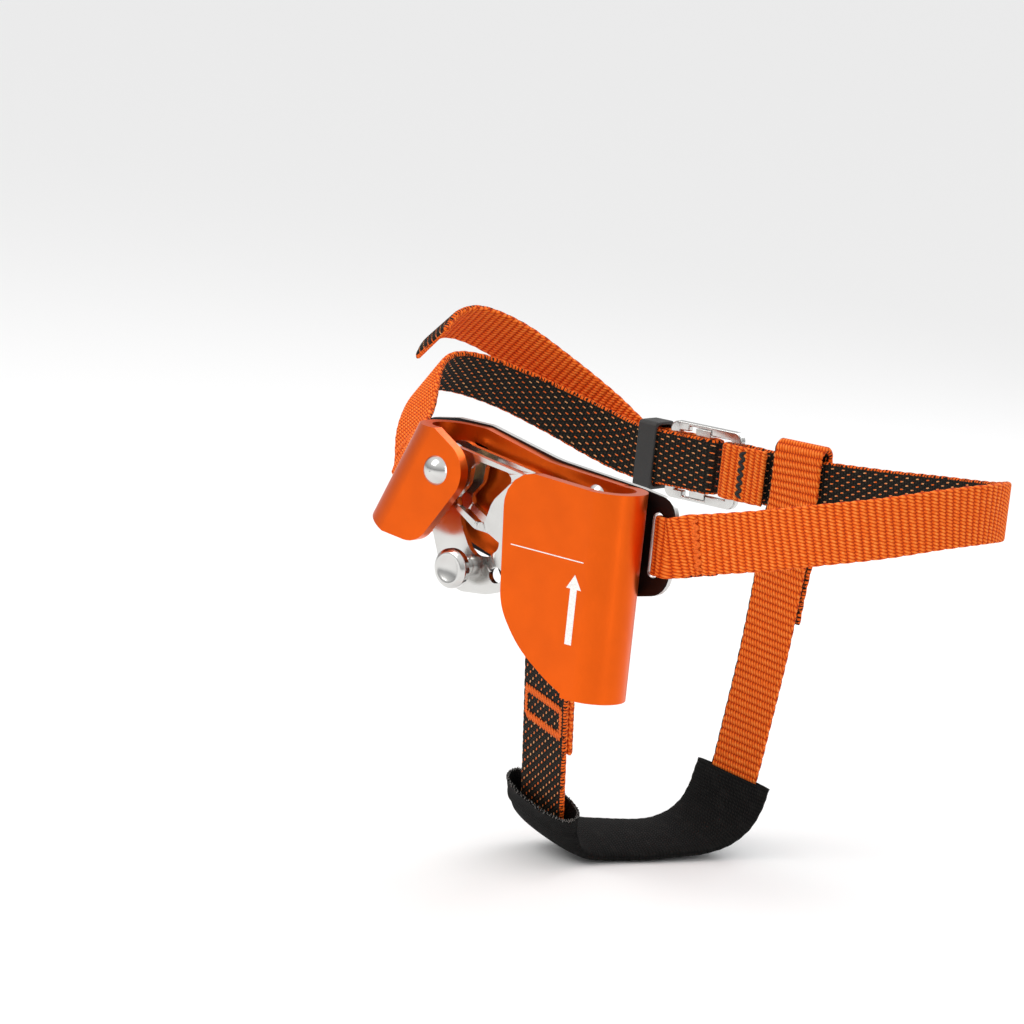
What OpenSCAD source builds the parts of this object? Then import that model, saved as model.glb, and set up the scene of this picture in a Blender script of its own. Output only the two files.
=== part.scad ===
// Foot ascender: a rope clamp worn on the inner side of a right boot.
// +Z points up the rope, +X towards the heel and +Y into the boot.
// Y = 0 is the boot side of the strap plate, and Z = 0 is half way up the frame.

/* [Frame] */
// Thickness of the folded aluminium sheet
wall = 3.5; // [3:0.1:4.5]
// Clear width of the rope channel between the flanges
channel = 13.5; // [11:0.25:17]
// Height of the front flange and the rope fold
flange_h = 63; // [52:0.5:78]
// Distance from the cam axle to the centre of the rope fold
reach = 58.7; // [56:0.1:72]
// X position of the centre of the rope fold
fold_x = 29; // [26:0.5:30]
// Depth of the cam axle below the top of the front flange
axle_drop = 5.1; // [4:0.1:6]
// Radius of the tongue's nose around the axle
nose_r = 9.8; // [8:0.1:11]
// Lean of the tongue fold, top towards the heel
tongue_lean = 25.4; // [22:0.1:28]

/* [Strap plate] */
// Thickness of the steel strap plate
plate_t = 2; // [1.5:0.1:3]
// Width of the strap slots, across the webbing's thickness
slot_h = 3.6; // [3.2:0.1:4.5]
// Width of the steel bar outside each slot
bar_w = 4.2; // [3:0.1:6]
// Lean of the stirrup strap towards the toe
stirrup_lean = 18.6; // [15:0.1:22]
// Height of the heel strap slot above the origin
ear_z = 15.2; // [13:0.1:16]

/* [Webbing] */
// Width of the webbing
web_w = 18; // [15:0.5:22]
// Thickness of the webbing
web_t = 2.2; // [1.6:0.1:2.4]
// Play of the webbing in its slots, along the slot
slot_play = 1.5; // [1:0.1:3]
// Outside width of the wear sleeve under the sole
sleeve_w = 29; // [27:0.5:34]
// Thickness of the sleeve's fabric
sleeve_t = 0.9; // [0.6:0.1:1.2]

/* [Cam] */
// Thickness of the cam's steel sheet
cam_t = 2; // [1.6:0.1:2.4]
// Width of the cam over both cheeks
cam_w = 9; // [8:0.1:9.6]
// Gap between the back wall and the cam, for the spring
cam_gap = 2.5; // [2.2:0.1:3]
// Radius of the cam's boss around the axle
boss_r = 8.3; // [7:0.1:9]
// Radius from the axle to the toothed face
face_r = 56.2; // [48:0.1:57]
// Growth of that radius for each degree below the axle
face_rise = 0.06; // [0:0.01:0.08]
// Angle below the axle where the toothed face begins
face_top = 5; // [3:0.5:8]
// Angle below the axle where the toothed face ends
face_low = 27; // [24:0.5:29]
// Radius of the cord hole in the lever
cord_hole_r = 2.5; // [2:0.1:3]

/* [Axle and knob] */
// Radius of the axle
axle_r = 3; // [2.5:0.1:3.2]
// Wall of the bush on the axle
bush_t = 1; // [0.8:0.1:1.4]
// Running clearance of the cam on the bush
run_gap = 0.05; // [0.02:0.01:0.09]
// Radius of the axle's domed head
head_r = 4.5; // [4:0.1:5.5]
// Radius of the knob's head
knob_r = 6.1; // [5:0.1:7]
// Radius of the knob's shank
shank_r = 3; // [2.5:0.1:4]
// Thickness of the knob's head
knob_head_t = 4; // [3:0.1:5]
// Radius of the knob's riveted spigot
spigot_r = 2; // [1.5:0.1:2.4]
// Radius of the plate rivets
rivet_r = 2; // [1.5:0.1:2.4]
// Radius of the plate rivets' heads
rivet_head_r = 3.2; // [2.8:0.1:3.8]
// Wire diameter of the return spring
wire = 0.9; // [0.7:0.05:1]

/* [Ankle loop] */
// Y position of the far side of the ankle loop
far_y = 93; // [88:0.5:110]
// X position of the back of the heel
heel_x = 119; // [112:1:135]
// Thickness of the steel buckle frame
buckle_t = 2.5; // [2:0.1:3]
// Travel of the buckle's sliding bar
bar_travel = 2.5; // [1:0.1:3]

/* [Hidden] */
$fn = 64;
orange = "darkorange";
steel = "silver";
eps = 0.01;
spring_play = 0.15;
play = 0.3;

// Levels across the frame, from the boot outwards
wall_back = -plate_t;
wall_front = wall_back - wall;
flange_in = wall_front - channel;
flange_out = flange_in - wall;
mid_y = (wall_front + flange_in) / 2;
r_in = channel / 2;
r_out = r_in + wall;

// Heights and the two anchors that the outlines are drawn from
top_z = flange_h / 2;
low_z = -flange_h / 2;
axle = [fold_x - reach, top_z - axle_drop];
tongue_base = axle + [-18.3, -22];
rim_z = axle[1] + 12.6;
slot_len = web_w + slot_play;
bar_far = slot_h / 2 + bar_w;
stirrup_slot = [7.7, low_z + 11.5];
ear_slot_x = fold_x + 9.8;
instep_slot = tongue_base + [-3, 18.6];

// Levels of the cam
cam_back = wall_front - cam_gap;
cam_front = cam_back - cam_w;
knob_front = flange_in + play;
knob_at = axle + [5.5, -29.4];
cord_hole_at = axle + [17.2, -29.9];

// Buckle, along X on the far side
buckle_z = 24;
rear_bar = [-1, 3];
front_bar = [-25, -21];
slide_bar = [-15, -9];
rail_in = slot_len / 2;
rail_out = rail_in + 2.9;
layer = buckle_t / 2 + web_t / 2 + play;
keeper_x = -35;

// ---- points and outlines ----
function unit(v) = v / norm(v);
function turn(v, a) = [v[0] * cos(a) - v[1] * sin(a), v[0] * sin(a) + v[1] * cos(a)];

// A corner b between a and c, rounded to radius r
function corner(a, b, c, r, n = 6) =
    let (u = unit(a - b), v = unit(c - b), half = acos(u * v) / 2,
        centre = b + unit(u + v) * r / sin(half),
        p = b + u * r / tan(half), q = b + v * r / tan(half))
    [for (i = [0:n]) centre + r * unit((p - centre) * (n - i) + (q - centre) * i)];

// An outline from rows of [x, z, corner radius]
function rounded(rows) =
    let (n = len(rows), at = [for (row = rows) [row[0], row[1]]])
    [for (i = [0:n - 1]) each rows[i][2] == 0 ? [at[i]]
        : corner(at[(i + n - 1) % n], at[i], at[(i + 1) % n], rows[i][2])];

function from_axle(rows) = [for (r = rows) [axle[0] + r[0], axle[1] + r[1], r[2]]];
function slot_point(u, v) = stirrup_slot + turn([u, v], -stirrup_lean);
function with_r(p, r) = [p[0], p[1], r];

// A flat sheet in the XZ plane between two Y levels
module sheet(y_near, y_far) {
    translate([0, y_far, 0]) rotate([90, 0, 0]) linear_extrude(y_far - y_near) children();
}

// A round bar or hole along Y
module along_y(at, r, y_near, y_far) {
    sheet(y_near, y_far) translate(at) circle(r);
}

module slot_shape(at, lean, length, width) {
    translate(at) rotate(lean) round_slot(length, width);
}

// A slot with round ends, built from exact circles
module round_slot(length, width) {
    square([length - width, width], center = true);
    for (s = [-1, 1]) translate([s * (length - width) / 2, 0]) circle(width / 2);
}

// ---- frame ----
// The section of one fold: a half ring with its two flat arms
module fold_section(side, inner_arm, outer_arm) {
    difference() {
        circle(r_out);
        circle(r_in);
        translate([side > 0 ? -2 * r_out : 0, -r_out - 1]) square([2 * r_out, 2 * r_out + 2]);
    }
    translate([side > 0 ? -inner_arm : 0, r_in]) square([inner_arm, wall]);
    translate([side > 0 ? -outer_arm : 0, -r_out]) square([outer_arm, wall]);
}

// The fold round the rope, along Z
module rope_fold() {
    translate([fold_x, mid_y, low_z]) linear_extrude(fold_top - low_z) fold_section(1, 4, 4);
}

// The fold over the cam, with the whole tongue
module tongue_blank() {
    translate([tongue_base[0], mid_y, tongue_base[1]]) rotate([0, tongue_lean, 0])
        translate([0, 0, -50]) linear_extrude(110) fold_section(-1, 3.2, 32);
}

// The flat of the back wall and of the front flange, which lap the folds' arms
module between_folds() {
    up_fold = 80 * [sin(tongue_lean), cos(tongue_lean)];
    left = tongue_base + [1, 0];
    polygon([left - up_fold, left + up_fold, [fold_x - 2, 80], [fold_x - 2, -80]]);
}

// Both ends of the tongue fold, carried past its outer side
function tongue_ends() = let (low = tongue_base + 25 * [-cos(tongue_lean), sin(tongue_lean)])
    [[low[0], rim_z, 0], with_r(low, 0), with_r(tongue_base, 0)];
fold_side = fold_x + r_out + 1;
// The flat wall is thinner than the folded ends by this much on each face
flat_thin = 0.02;
fold_top = top_z - 0.6;

module front_flange_shape() {
    polygon(rounded([
        [fold_side, fold_top, 0],
        [fold_x, fold_top, 0],
        [-3.6, top_z + 1.3, 10.5],
        [-0.4, low_z + 22.5, 18],
        [7.5, low_z + 11.7, 34],
        [20, low_z + 3.5, 60],
        [28, low_z, 15],
        [fold_side, low_z, 0]]));
}

module back_wall_shape() {
    half = slot_len / 2;
    polygon(rounded(concat(
        [[fold_side, fold_top, 0], [fold_x, fold_top, 0], [0, top_z + 1.7, 40],
            [axle[0] + 4.5, rim_z, 6]],
        tongue_ends(),
        [[axle[0] - 12, axle[1] - 22.8, 2],
            [axle[0] - 8.3, axle[1] - 17, 3],
            [axle[0] - 1.3, axle[1] - 16.5, 3],
            [axle[0] + 2.9, axle[1] - 22.6, 3],
            [axle[0] + 12, axle[1] - 25.4, 5],
            with_r(slot_point(-half - 1.5, slot_h / 2 + 2), 4),
            with_r(slot_point(half + 1, slot_h / 2 + 2), 2),
            [fold_x - 5, low_z, 0],
            [fold_side, low_z, 0]])));
}

module tongue_shape() {
    translate(axle) circle(nose_r);
    polygon(rounded(concat(
        [[axle[0] - 2, rim_z, 0]],
        tongue_ends(),
        [[axle[0] - 4.8, tongue_base[1] - 1.6, 8.5],
            with_r(axle + nose_r * [cos(38), -sin(38)], 0),
            with_r(axle + nose_r * [cos(60), sin(60)], 0)])));
}

module frame() color(orange) difference() {
    union() {
        rope_fold();
        sheet(flange_out, flange_in) intersection() {
            front_flange_shape();
            between_folds();
        }
        sheet(wall_front + flat_thin, wall_back - flat_thin) intersection() {
            back_wall_shape();
            between_folds();
        }
        intersection() {
            tongue_blank();
            sheet(flange_out - 1, mid_y) tongue_shape();
        }
        intersection() {
            tongue_blank();
            sheet(mid_y, wall_back + 1) back_wall_shape();
        }
    }
    along_y(axle, axle_r, flange_out - 1, wall_back + 1);
    for (p = rivet_spots) along_y(p, rivet_r, wall_front - 1, wall_back + 1);
    sheet(wall_front - 1, wall_back + 1) slot_shape(spring_slot, -12, 6, 2.4);
}

// ---- strap plate and its rivets ----
rivet_spots = [[fold_x - 11, top_z - 5], [fold_x - 8, low_z + 22]];
spring_slot = axle + [3.2, 6.2];

module plate_shape() {
    half = slot_len / 2;
    ear_half = half + 4.3;
    lean_u = [cos(tongue_lean), -sin(tongue_lean)];
    lean_v = [sin(tongue_lean), cos(tongue_lean)];
    polygon(rounded([
        [fold_x + 3, top_z - 0.4, 4],
        [1, top_z + 2.4, 40],
        [axle[0] + 4, rim_z + 0.7, 10],
        [axle[0] - 9, rim_z + 0.8, 4],
        with_r(instep_slot - lean_u * bar_far + lean_v * (half + 4), 5),
        with_r(instep_slot - lean_u * bar_far - lean_v * (half + 4), 5),
        with_r(tongue_base + [9, -1], 4),
        [axle[0] + 10, axle[1] - 27, 6],
        with_r(slot_point(-half - 2.6, -slot_h / 2 - bar_w), 4),
        with_r(slot_point(half + 4, -slot_h / 2 - bar_w), 5),
        [fold_x + 1, low_z + 10, 4],
        [fold_x + 2, ear_z - ear_half - 3, 4],
        [ear_slot_x + slot_h / 2 + bar_w, ear_z - ear_half, 7],
        [ear_slot_x + slot_h / 2 + bar_w, ear_z + ear_half, 6]]));
}

module strap_plate() color("dimgray") difference() {
    sheet(-plate_t, 0) plate_shape();
    sheet(-plate_t - 1, 1) {
        slot_shape([ear_slot_x, ear_z], 90, slot_len, slot_h);
        slot_shape(stirrup_slot, -stirrup_lean, slot_len, slot_h);
        slot_shape(instep_slot, 90 - tongue_lean, slot_len, slot_h);
    }
    along_y(axle, axle_r, -plate_t - 1, 1);
    for (p = rivet_spots) along_y(p, rivet_r, -plate_t - 1, 1);
}

// A low domed head that stands out towards -Y from the level y
module dome(at, y, r, h) {
    ball = (r * r + h * h) / (2 * h);
    translate([at[0], y, at[1]]) rotate([90, 0, 0]) rotate_extrude()
        intersection() {
            translate([0, h - ball]) circle(ball);
            square([r, h]);
        }
}

module plate_rivets() color(steel) for (p = rivet_spots) {
    along_y(p, rivet_r, wall_front, 0);
    dome(p, wall_front, rivet_head_r, 1.4);
}

// ---- axle, bush and washer ----
module cam_axle() color(steel) {
    along_y(axle, axle_r, flange_out, 0);
    dome(axle, flange_out, head_r, 2.6);
}

module cam_bush() color("goldenrod") difference() {
    along_y(axle, axle_r + bush_t, flange_in, wall_front);
    along_y(axle, axle_r, flange_in - 1, wall_front + 1);
}

module cam_washer() color(steel) difference() {
    along_y(axle, boss_r - 1.2, flange_in + 0.1, cam_front - 0.1);
    along_y(axle, axle_r + bush_t + run_gap, flange_in - 1, cam_front + 1);
}

// ---- cam ----
function face_at(a) = (face_r + face_rise * a) * [cos(a), -sin(a)];

// The cheek's outline; the toothed face is a slowly growing arc about the axle
module cheek_shape() {
    translate(axle) circle(boss_r);
    polygon(rounded(concat(
        from_axle([[-1.3, boss_r - 0.1, 0], [29.5, 3.5, 30], [face_r - 2.2, -0.9, 0]]),
        [for (a = [face_top:2:face_low]) with_r(axle + face_at(a), 0)],
        from_axle([[44, -28.2, 5], [18.2, -16.2, 5], [12.6, -15.8, 4], [3.4, -10.2, 4],
            [-boss_r + 1.6, -4, 0]]))));
}

module cheek_window() {
    polygon(rounded(from_axle([
        [11.6, 4.6, 1.6], [9.4, 2.4, 2], [8.8, -3, 3], [5, -7.6, 1.4], [5.8, -10, 1.2],
        [13.4, -13.8, 2], [16.4, -13.2, 1.6], [18.4, -6.4, 6], [25.4, 1, 1.6], [23.2, 3.2, 1.6]])));
}

module lever_shape() {
    polygon(rounded(from_axle([
        [-boss_r, 0, 0], [-9.6, -14, 6], [-8.9, -20, 6], [-3.4, -33.6, 7], [4, -37.4, 6],
        [14.5, -36.4, 12], [24, -33, 6], [27, -22, 6], [20, -12, 0]])));
}

module lever_window() {
    polygon(rounded(from_axle([
        [1.2, -13.2, 2], [2.6, -17.8, 4], [6, -23.4, 4], [9, -25.7, 4], [13.6, -25.2, 5],
        [17.6, -21.6, 3], [16.6, -17.6, 3], [10.6, -15.2, 3], [4.6, -11.6, 1.4]])));
}

module teeth() {
    for (a = [face_top + 3:2.4:face_low - 2], k = [-1, 0, 1]) {
        p = axle + face_at(a) * (1 - 0.35 / face_r);
        translate([p[0], (cam_back + cam_front) / 2 + k * 2.6, p[1]])
            rotate([0, 62 + a, 0]) cylinder(r1 = 0.95, r2 = 0.2, h = 1.9, $fn = 16);
    }
}

module cam() color("whitesmoke") difference() {
    union() {
        sheet(cam_front, cam_front + cam_t) cheek_shape();
        sheet(cam_back - cam_t, cam_back) {
            cheek_shape();
            lever_shape();
        }
        sheet(cam_front + cam_t - eps, cam_back - cam_t + eps) face_strip();
        teeth();
    }
    sheet(cam_front - 1, cam_back + 1) cheek_window();
    sheet(cam_back - cam_t - eps, cam_back + 1) lever_window();
    along_y(axle, axle_r + bush_t + run_gap, cam_front - 1, cam_back + 1);
    along_y(knob_at, spigot_r, cam_back - cam_t - 1, cam_back + 1);
    along_y(cord_hole_at, cord_hole_r, cam_back - cam_t - 1, cam_back + 1);
}

// The web that joins the cheeks, one sheet thick behind the toothed face
module face_strip() {
    polygon(concat(
        [for (a = [face_top:2:face_low]) axle + face_at(a)],
        [for (a = [face_low:-2:face_top]) axle + face_at(a) * (1 - cam_t / face_r)]));
}

// ---- knob ----
module lever_knob() color("whitesmoke") {
    base = cam_back - cam_t;
    shank = base - knob_front - knob_head_t;
    translate([knob_at[0], base, knob_at[1]]) rotate([90, 0, 0]) difference() {
        rotate_extrude() polygon([[0, 0], [shank_r, 0], [shank_r, shank - 0.8],
            [shank_r + 0.8, shank], [knob_r - 0.8, shank], [knob_r, shank + 0.8],
            [knob_r, shank + knob_head_t - 1.2], [knob_r - 1.2, shank + knob_head_t],
            [0, shank + knob_head_t]]);
        translate([0, 0, shank + knob_head_t + 7.3]) sphere(8.4);
    }
    along_y(knob_at, spigot_r, base - eps, cam_back);
    along_y(knob_at, shank_r + 0.6, cam_back, cam_back + 0.8);
}

// ---- paths: rows are [x, y, z, width direction x, y, z] ----
function curve(a, b, c, d, t) = 0.5 * (2 * b + (c - a) * t + (2 * a - 5 * b + 4 * c - d) * t * t
    + (3 * b - a - 3 * c + d) * t * t * t);
function smooth(rows, n) = let (m = len(rows) - 1)
    [for (i = [0:m - 1], k = [0:n - 1])
        curve(rows[max(i - 1, 0)], rows[i], rows[i + 1], rows[min(i + 2, m)], k / n), rows[m]];
function place(row) = [row[0], row[1], row[2]];
function across(row) = [row[3], row[4], row[5]];

// Position, width direction and thickness direction at ring i of a path
function ring(path, i) =
    let (m = len(path) - 1, t = unit(place(path[min(i + 1, m)]) - place(path[max(i - 1, 0)])),
        w = unit(across(path[i]) - (across(path[i]) * t) * t))
    [place(path[i]), w, cross(t, w)];

function loop_faces(count, sides) = [for (i = [0:count - 2], k = [0:sides - 1])
    let (a = i * sides + k, b = i * sides + (k + 1) % sides)
    each [[a, b, b + sides], [a, b + sides, a + sides]]];

// A flat strap swept along a path
module strap(path, width, thick) {
    n = len(path);
    points = [for (i = [0:n - 1]) let (r = ring(path, i)) each
        [for (c = [[-1, -1], [1, -1], [1, 1], [-1, 1]])
            r[0] + r[1] * c[0] * width / 2 + r[2] * c[1] * thick / 2]];
    last = 4 * (n - 1);
    polyhedron(points, concat([[3, 2, 1, 0]], loop_faces(n, 4), [[last, last + 1, last + 2, last + 3]]));
}

// A flat tube swept along a path; rise gives the tube's thickness at ring i
module sleeve(path, width, rise, skin) {
    n = len(path);
    sides = 16;
    function oval(r, w, t) = [for (k = [0:sides - 1]) let (a = 360 * k / sides)
        r[0] + r[1] * cos(a) * w / 2 + r[2] * sign(sin(a)) * pow(abs(sin(a)), 0.75) * t / 2];
    outer = [for (i = [0:n - 1]) each oval(ring(path, i), width, rise[i])];
    inner = [for (i = [0:n - 1]) each oval(ring(path, i), width - 2 * skin, rise[i] - 2 * skin)];
    m = n * sides;
    rims = [for (k = [0:sides - 1], e = [0, n - 1])
        let (a = e * sides + k, b = e * sides + (k + 1) % sides)
        each e == 0 ? [[a, a + m, b + m], [a, b + m, b]] : [[b, b + m, a + m], [b, a + m, a]]];
    polyhedron(concat(outer, inner), concat(loop_faces(n, sides),
        [for (f = loop_faces(n, sides)) [f[2] + m, f[1] + m, f[0] + m]], rims));
}

// The turn of a strap round a plate bar: out is the way to the bar's outer side
function bar_turn(at, out, w) =
    let (back = web_t / 2 + 0.4, front = -plate_t - back,
        d = [[bar_far + 1.5, back], [slot_h / 2 + 0.8, back], [0.3, 0.2], [0, -plate_t / 2],
            [0.3, -plate_t - 0.2], [slot_h / 2 + 0.8, front], [bar_far + 0.4, front + 0.1]])
    [for (p = d) [at[0] + out[0] * p[0], p[1], at[1] + out[1] * p[0], w[0], 0, w[1]]];

up = [0, 0, 1];
function flat(x, y, z, w = up) = [x, y, z, w[0], w[1], w[2]];

// ---- heel strap ----
heel_tail = [flat(ear_slot_x + 18, 2.2, ear_z + 3.2), flat(ear_slot_x + 12, 1.8, ear_z + 1.8)];
heel_near = [flat(ear_slot_x + 12.7, -1.7, ear_z + 2.6), flat(ear_slot_x + 19.2, 0, ear_z + 4),
    flat(72, 3.5, 22.6), flat(88, 9.5, 27),
    flat(heel_x - 17, 19, 30.8), flat(heel_x - 6, 33, 34.4), flat(heel_x, 50, 36),
    flat(heel_x - 5, 67, 34.4)];
heel_far = [flat(heel_x - 18, far_y - 12, 31), flat(80, far_y - 5, 28.4), flat(60, far_y - 1.6, 26.2),
    flat(40, far_y, 24.6), flat(28, far_y, buckle_z), flat(18, far_y + 0.4, buckle_z)];

function rear_bar_turn() = let (x = rear_bar[0], z = buckle_z)
    [flat(8, far_y + layer - 0.4, z), flat(3, far_y + layer, z), flat(x, far_y + layer, z),
        flat(x - 1.4, far_y + 1.6, z), flat(x - 1.7, far_y, z), flat(x - 1.4, far_y - 1.6, z),
        flat(x, far_y - layer, z), flat(3, far_y - layer, z), flat(14, far_y - layer, z)];

module heel_strap() color(orange)
    strap(smooth(concat(heel_tail, bar_turn([ear_slot_x, ear_z], [1, 0.06], [0, 1]),
        heel_near, heel_far, rear_bar_turn()), 2), web_w, web_t);

// ---- instep strap, with its free end laid back over the outside ----
lean_out = [-cos(tongue_lean), sin(tongue_lean)];
lean_up = [sin(tongue_lean), cos(tongue_lean)];
shin = [0.62, 0, 0.78];
function from_slot(x, y, z, w) = flat(instep_slot[0] + x, y, instep_slot[1] + z, w);
instep_tail = [from_slot(-11, 9.6, 2.2, [0.55, 0.1, 0.8]), from_slot(-8.4, 5.4, 1.4, [0.5, 0, 0.86])];
instep_near = [from_slot(-9.6, 2.6, 4.2, [0.52, 0, 0.84]), from_slot(-15, 11, 10, [0.64, 0.14, 0.74]),
    from_slot(-21, 20, 15.6, [0.66, 0.1, 0.75]), from_slot(-26.5, 30, 20.4, shin),
    from_slot(-29.5, 41, 22.4, shin), from_slot(-28, 54, 21, shin)];
instep_far = [from_slot(-22, far_y - 25, 16.6, [0.58, -0.08, 0.8]),
    from_slot(-12, far_y - 13, 10.6, [0.45, -0.08, 0.88]),
    flat(-51, far_y - 5.4, 28, [0.25, 0, 0.95]), flat(-42, far_y - layer, 25, [0.1, 0, 1]),
    flat(-33, far_y - layer, buckle_z), flat(-20, far_y - layer, buckle_z)];

function slide_bar_turn() = let (x = slide_bar[1], z = buckle_z)
    [flat(x - 2, far_y - layer, z), flat(x + 1, far_y - layer, z), flat(x + 2.4, far_y - 1.6, z),
        flat(x + 2.7, far_y, z), flat(x + 2.4, far_y + 1.6, z), flat(x + 1, far_y + layer, z),
        flat(x - 2, far_y + layer, z)];
free_end = [flat(-24, far_y + layer, buckle_z), flat(-34, far_y + layer, buckle_z),
    flat(-42, far_y + layer, 25.6, [0.08, 0, 1]), flat(-54, far_y + 0.6, 33, [0.35, 0, 0.9]),
    from_slot(-16, far_y - 9, 21, [0.6, 0, 0.8]), from_slot(-27, far_y - 22, 31.5, [0.72, 0, 0.7]),
    from_slot(-33.5, far_y - 36, 37, [0.76, 0, 0.66]), from_slot(-35, far_y - 47, 36, [0.74, 0, 0.68]),
    from_slot(-32.5, far_y - 56, 31, [0.68, 0, 0.74])];

module instep_strap() color(orange)
    strap(smooth(concat(instep_tail, bar_turn(instep_slot, lean_out, lean_up),
        instep_near, instep_far, slide_bar_turn(), free_end), 2), web_w, web_t);

// ---- stirrup strap and its wear sleeve ----
stirrup_down = -[sin(stirrup_lean), cos(stirrup_lean)];
stirrup_across = [cos(stirrup_lean), 0, -sin(stirrup_lean)];
inward = 28;
run_dir = [stirrup_down[0] * cos(inward), sin(inward), stirrup_down[1] * cos(inward)];
run_in = [-stirrup_down[0] * sin(inward), cos(inward), -stirrup_down[1] * sin(inward)];
bend_at = let (p = stirrup_slot + stirrup_down * 6.9) [p[0], -plate_t - web_t / 2 - 0.4, p[1]];
function on_run(s, depth) = let (p = bend_at + run_dir * s + run_in * depth)
    flat(p[0], p[1], p[2], stirrup_across);
fold = web_t + 0.4;

stirrup_end = [on_run(37, fold), on_run(28, fold), on_run(18, fold), on_run(9, fold + 0.2)];
stirrup_run = [for (s = [3, 12, 24, 36, 48, 60]) on_run(s, 0)];
function sole_row(x, y, z, lean) = flat(x, y, z, [cos(lean), 0, -sin(lean)]);
sole_z = stirrup_slot[1] - 75;
under_sole = [sole_row(-13.4, 28.4, sole_z + 12, 18), sole_row(-14.6, 34, sole_z + 5.5, 17),
    sole_row(-13.4, 42, sole_z + 2, 15), sole_row(-9, 53, sole_z + 0.4, 10), sole_row(-2, 66, sole_z, 6),
    sole_row(4, far_y - 14, sole_z + 0.8, 2), sole_row(8, far_y - 5, sole_z + 4.4, 0),
    sole_row(10.4, far_y + 0.6, sole_z + 11, 0), sole_row(12, far_y + 3, sole_z + 21, 0)];
loop_z = buckle_z + web_w / 2;
loop_low = buckle_z - web_w / 2;
stirrup_far = [sole_row(14.5, far_y + 3.4, -56, -8), sole_row(18, far_y + 3, -32, -8),
    sole_row(21.6, far_y + 0.8, -8, -8), sole_row(24.4, far_y - 2.4, loop_low - 6, -6),
    sole_row(26, far_y - 3.1, loop_low + 5, 0), sole_row(26, far_y - 3.1, loop_z - 1, 0),
    sole_row(26, far_y - 2.5, loop_z + 2.4, 0), sole_row(26, far_y, loop_z + 4, 0),
    sole_row(26, far_y + 2.5, loop_z + 2.4, 0), sole_row(26, far_y + 3.1, loop_z - 1, 0),
    sole_row(26, far_y + 3.1, loop_low + 5, 0), sole_row(24.6, far_y + 2.7, loop_low - 7, -6),
    sole_row(21.8, far_y + 3.6, -8, -8), sole_row(20, far_y + 4.8, -20, -8)];

module stirrup_strap() color("black")
    strap(smooth(concat(stirrup_end, bar_turn(stirrup_slot, stirrup_down,
        [stirrup_across[0], stirrup_across[2]]), stirrup_run, under_sole, stirrup_far), 2), web_w, web_t);

module wear_sleeve() color("dimgray") {
    path = smooth(concat([on_run(60, 0), on_run(64, 0), on_run(69, 0)],
        [for (i = [0:len(under_sole) - 1]) under_sole[i]]), 3);
    mouth = 11;
    body = web_t + 2 * sleeve_t + 1.6;
    sleeve(path, sleeve_w, [for (i = [0:len(path) - 1]) body + (mouth - body) * exp(-i / 4)], sleeve_t);
}

// ---- buckle ----
module buckle_frame() color(steel)
    translate([0, far_y + buckle_t / 2, buckle_z]) rotate([90, 0, 0]) linear_extrude(buckle_t)
        difference() {
            polygon(rounded([[front_bar[0], -rail_out, 3], [rear_bar[1], -rail_out, 3],
                [rear_bar[1], rail_out, 3], [front_bar[0], rail_out, 3]]));
            translate([front_bar[1], -rail_in]) square([rear_bar[0] - front_bar[1], 2 * rail_in]);
            translate([slide_bar[0] - bar_travel - 0.2, -rail_in - 1.8])
                square([slide_bar[1] - slide_bar[0] + bar_travel + 0.4, 2 * rail_in + 3.6]);
        }

module buckle_bar() color(steel) difference() {
    translate([slide_bar[0], far_y - buckle_t / 2, buckle_z - rail_in - 1.6])
        cube([slide_bar[1] - slide_bar[0], buckle_t, 2 * rail_in + 3.2]);
    for (k = [-4:4]) translate([slide_bar[0] - 0.4, far_y - buckle_t, buckle_z + k * 2 - 0.4])
        cube([1, 2 * buckle_t, 0.8]);
}

// ---- keeper for the free end ----
module keeper_shape(grow) {
    half_y = layer + web_t / 2 + play + grow;
    half_z = web_w / 2 + 1 + grow;
    polygon(rounded([[-half_y, -half_z, 1.5], [half_y, -half_z, 1.5],
        [half_y, half_z, 1.5], [-half_y, half_z, 1.5]]));
}

module tail_keeper() color("dimgray")
    translate([keeper_x, far_y, buckle_z]) rotate([0, 90, 0]) rotate(90) linear_extrude(7) difference() {
        keeper_shape(1.2);
        keeper_shape(0);
    }

// ---- return spring ----
// One open turn round the bush; one leg lies on the cam and the other reaches into the frame's slot
module cam_spring() color("gray") {
    coil_r = axle_r + bush_t + wire / 2 + 0.6;
    first = cam_back + wire / 2 + spring_play;
    last = wall_front - wire / 2 - spring_play;
    steps = 20;
    start = 80;
    coil = [for (i = [0:steps]) let (a = start - i * 360 / steps)
        [axle[0] + coil_r * cos(a), first + (last - first) * i / steps, axle[1] + coil_r * sin(a)]];
    leg_in = [for (k = [3, 2, 1]) coil[0] - [k * 2.2, 0, k * 0.3]];
    leg_out = [for (p = [[-1.2, 0, -0.6], [0.2, 0.35, -0.22], [1.2, 1, -0.25], [2, 1.7, -0.42]])
        [spring_slot[0] + p[0], last + p[1], spring_slot[1] + p[2]]];
    round_wire(concat(leg_in, coil, leg_out), wire / 2);
}

module round_wire(path, r) {
    n = len(path);
    sides = 8;
    rows = [for (p = path) [p[0], p[1], p[2], 0.2, 1, 0.1]];
    points = [for (i = [0:n - 1]) let (f = ring(rows, i)) each
        [for (k = [0:sides - 1]) f[0] + r * (f[1] * cos(k * 45) + f[2] * sin(k * 45))]];
    last = sides * (n - 1);
    polyhedron(points, concat([[for (k = [sides - 1:-1:0]) k]], loop_faces(n, sides),
        [[for (k = [0:sides - 1]) last + k]]));
}

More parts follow.
